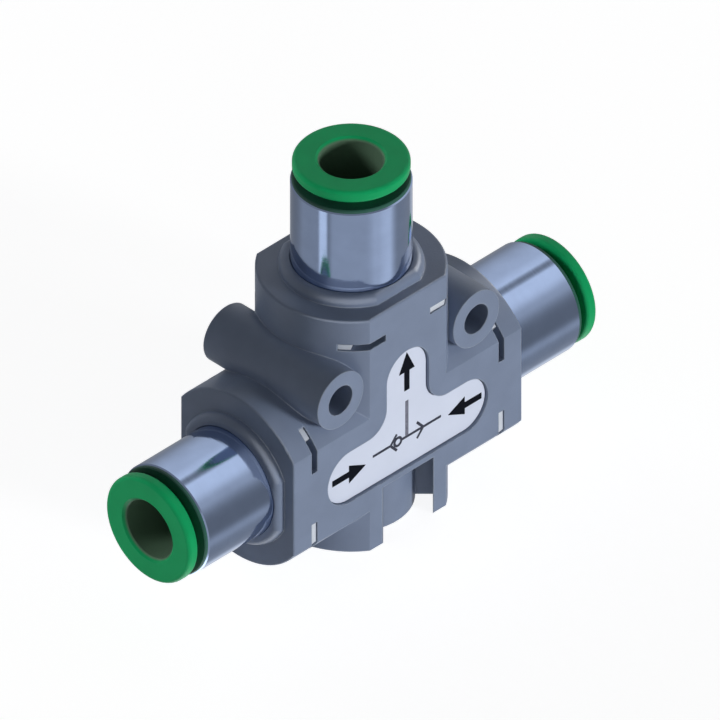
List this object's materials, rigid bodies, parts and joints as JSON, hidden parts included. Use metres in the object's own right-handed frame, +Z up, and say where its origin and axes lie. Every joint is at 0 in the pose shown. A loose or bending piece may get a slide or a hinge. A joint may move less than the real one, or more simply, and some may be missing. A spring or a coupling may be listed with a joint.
{
  "type": "shuttle valve",
  "caption": "Pneumatic OR shuttle valve: T-shaped moulded housing, push-in tube ports with green release collars, plated sleeves and mounting holes.",
  "frame": {"origin": "middle of the base, on the plane it stands on, straight below the crossing of the port axes", "axes": "+X from the left inlet to the right inlet, -Y the front with the label, +Z up along the outlet"},
  "size_m": [0.055, 0.0154, 0.0401],
  "materials": {
    "housing_resin": "satin moulded glass-filled nylon, dark blue-grey",
    "label_white": "smooth white plate with black print",
    "nickel": "bright nickel plate on turned brass",
    "release_green": "semi-gloss green acetal",
    "guide_resin": "plain black resin",
    "spring_steel": "stamped stainless",
    "clip_steel": "stamped and tumbled stainless",
    "seal_rubber": "black nitrile",
    "shuttle_resin": "natural acetal",
    "seat_brass": "turned"
  },
  "bodies": {
    "housing": {"body": "housing_resin", "label": "label_white", "left_sleeve": "nickel", "left_guide_ring": "guide_resin", "left_grab_ring": "spring_steel", "left_backup_ring": "guide_resin", "left_tube_seal": "seal_rubber", "left_sleeve_seal": "seal_rubber", "left_retaining_clip": "clip_steel", "right_sleeve": "nickel", "right_guide_ring": "guide_resin", "right_grab_ring": "spring_steel", "right_backup_ring": "guide_resin", "right_tube_seal": "seal_rubber", "right_sleeve_seal": "seal_rubber", "right_retaining_clip": "clip_steel", "outlet_sleeve": "nickel", "outlet_guide_ring": "guide_resin", "outlet_grab_ring": "spring_steel", "outlet_backup_ring": "guide_resin", "outlet_tube_seal": "seal_rubber", "outlet_sleeve_seal": "seal_rubber", "outlet_retaining_clip": "clip_steel", "left_seat": "seat_brass", "left_seat_seal": "seal_rubber", "right_seat": "seat_brass", "right_seat_seal": "seal_rubber"},
    "shuttle": {"shuttle": "shuttle_resin", "shuttle_pad_left": "seal_rubber", "shuttle_pad_right": "seal_rubber"},
    "left_collar": {"left_release_collar": "release_green"},
    "right_collar": {"right_release_collar": "release_green"},
    "outlet_collar": {"outlet_release_collar": "release_green"}
  },
  "joints": [
    {"name": "shuttle_slide", "type": "slide", "parent": "housing", "child": "shuttle", "axis": [1, 0, 0], "range_m": [0, 0.0018]},
    {"name": "left_collar_push", "type": "slide", "parent": "housing", "child": "left_collar", "axis": [1, 0, 0], "range_m": [0, 0.0007], "stiffness_N_per_m": 100},
    {"name": "right_collar_push", "type": "slide", "parent": "housing", "child": "right_collar", "axis": [-1, 0, 0], "range_m": [0, 0.0007], "stiffness_N_per_m": 100},
    {"name": "outlet_collar_push", "type": "slide", "parent": "housing", "child": "outlet_collar", "axis": [0, 0, -1], "range_m": [0, 0.0007], "stiffness_N_per_m": 100}
  ]
}
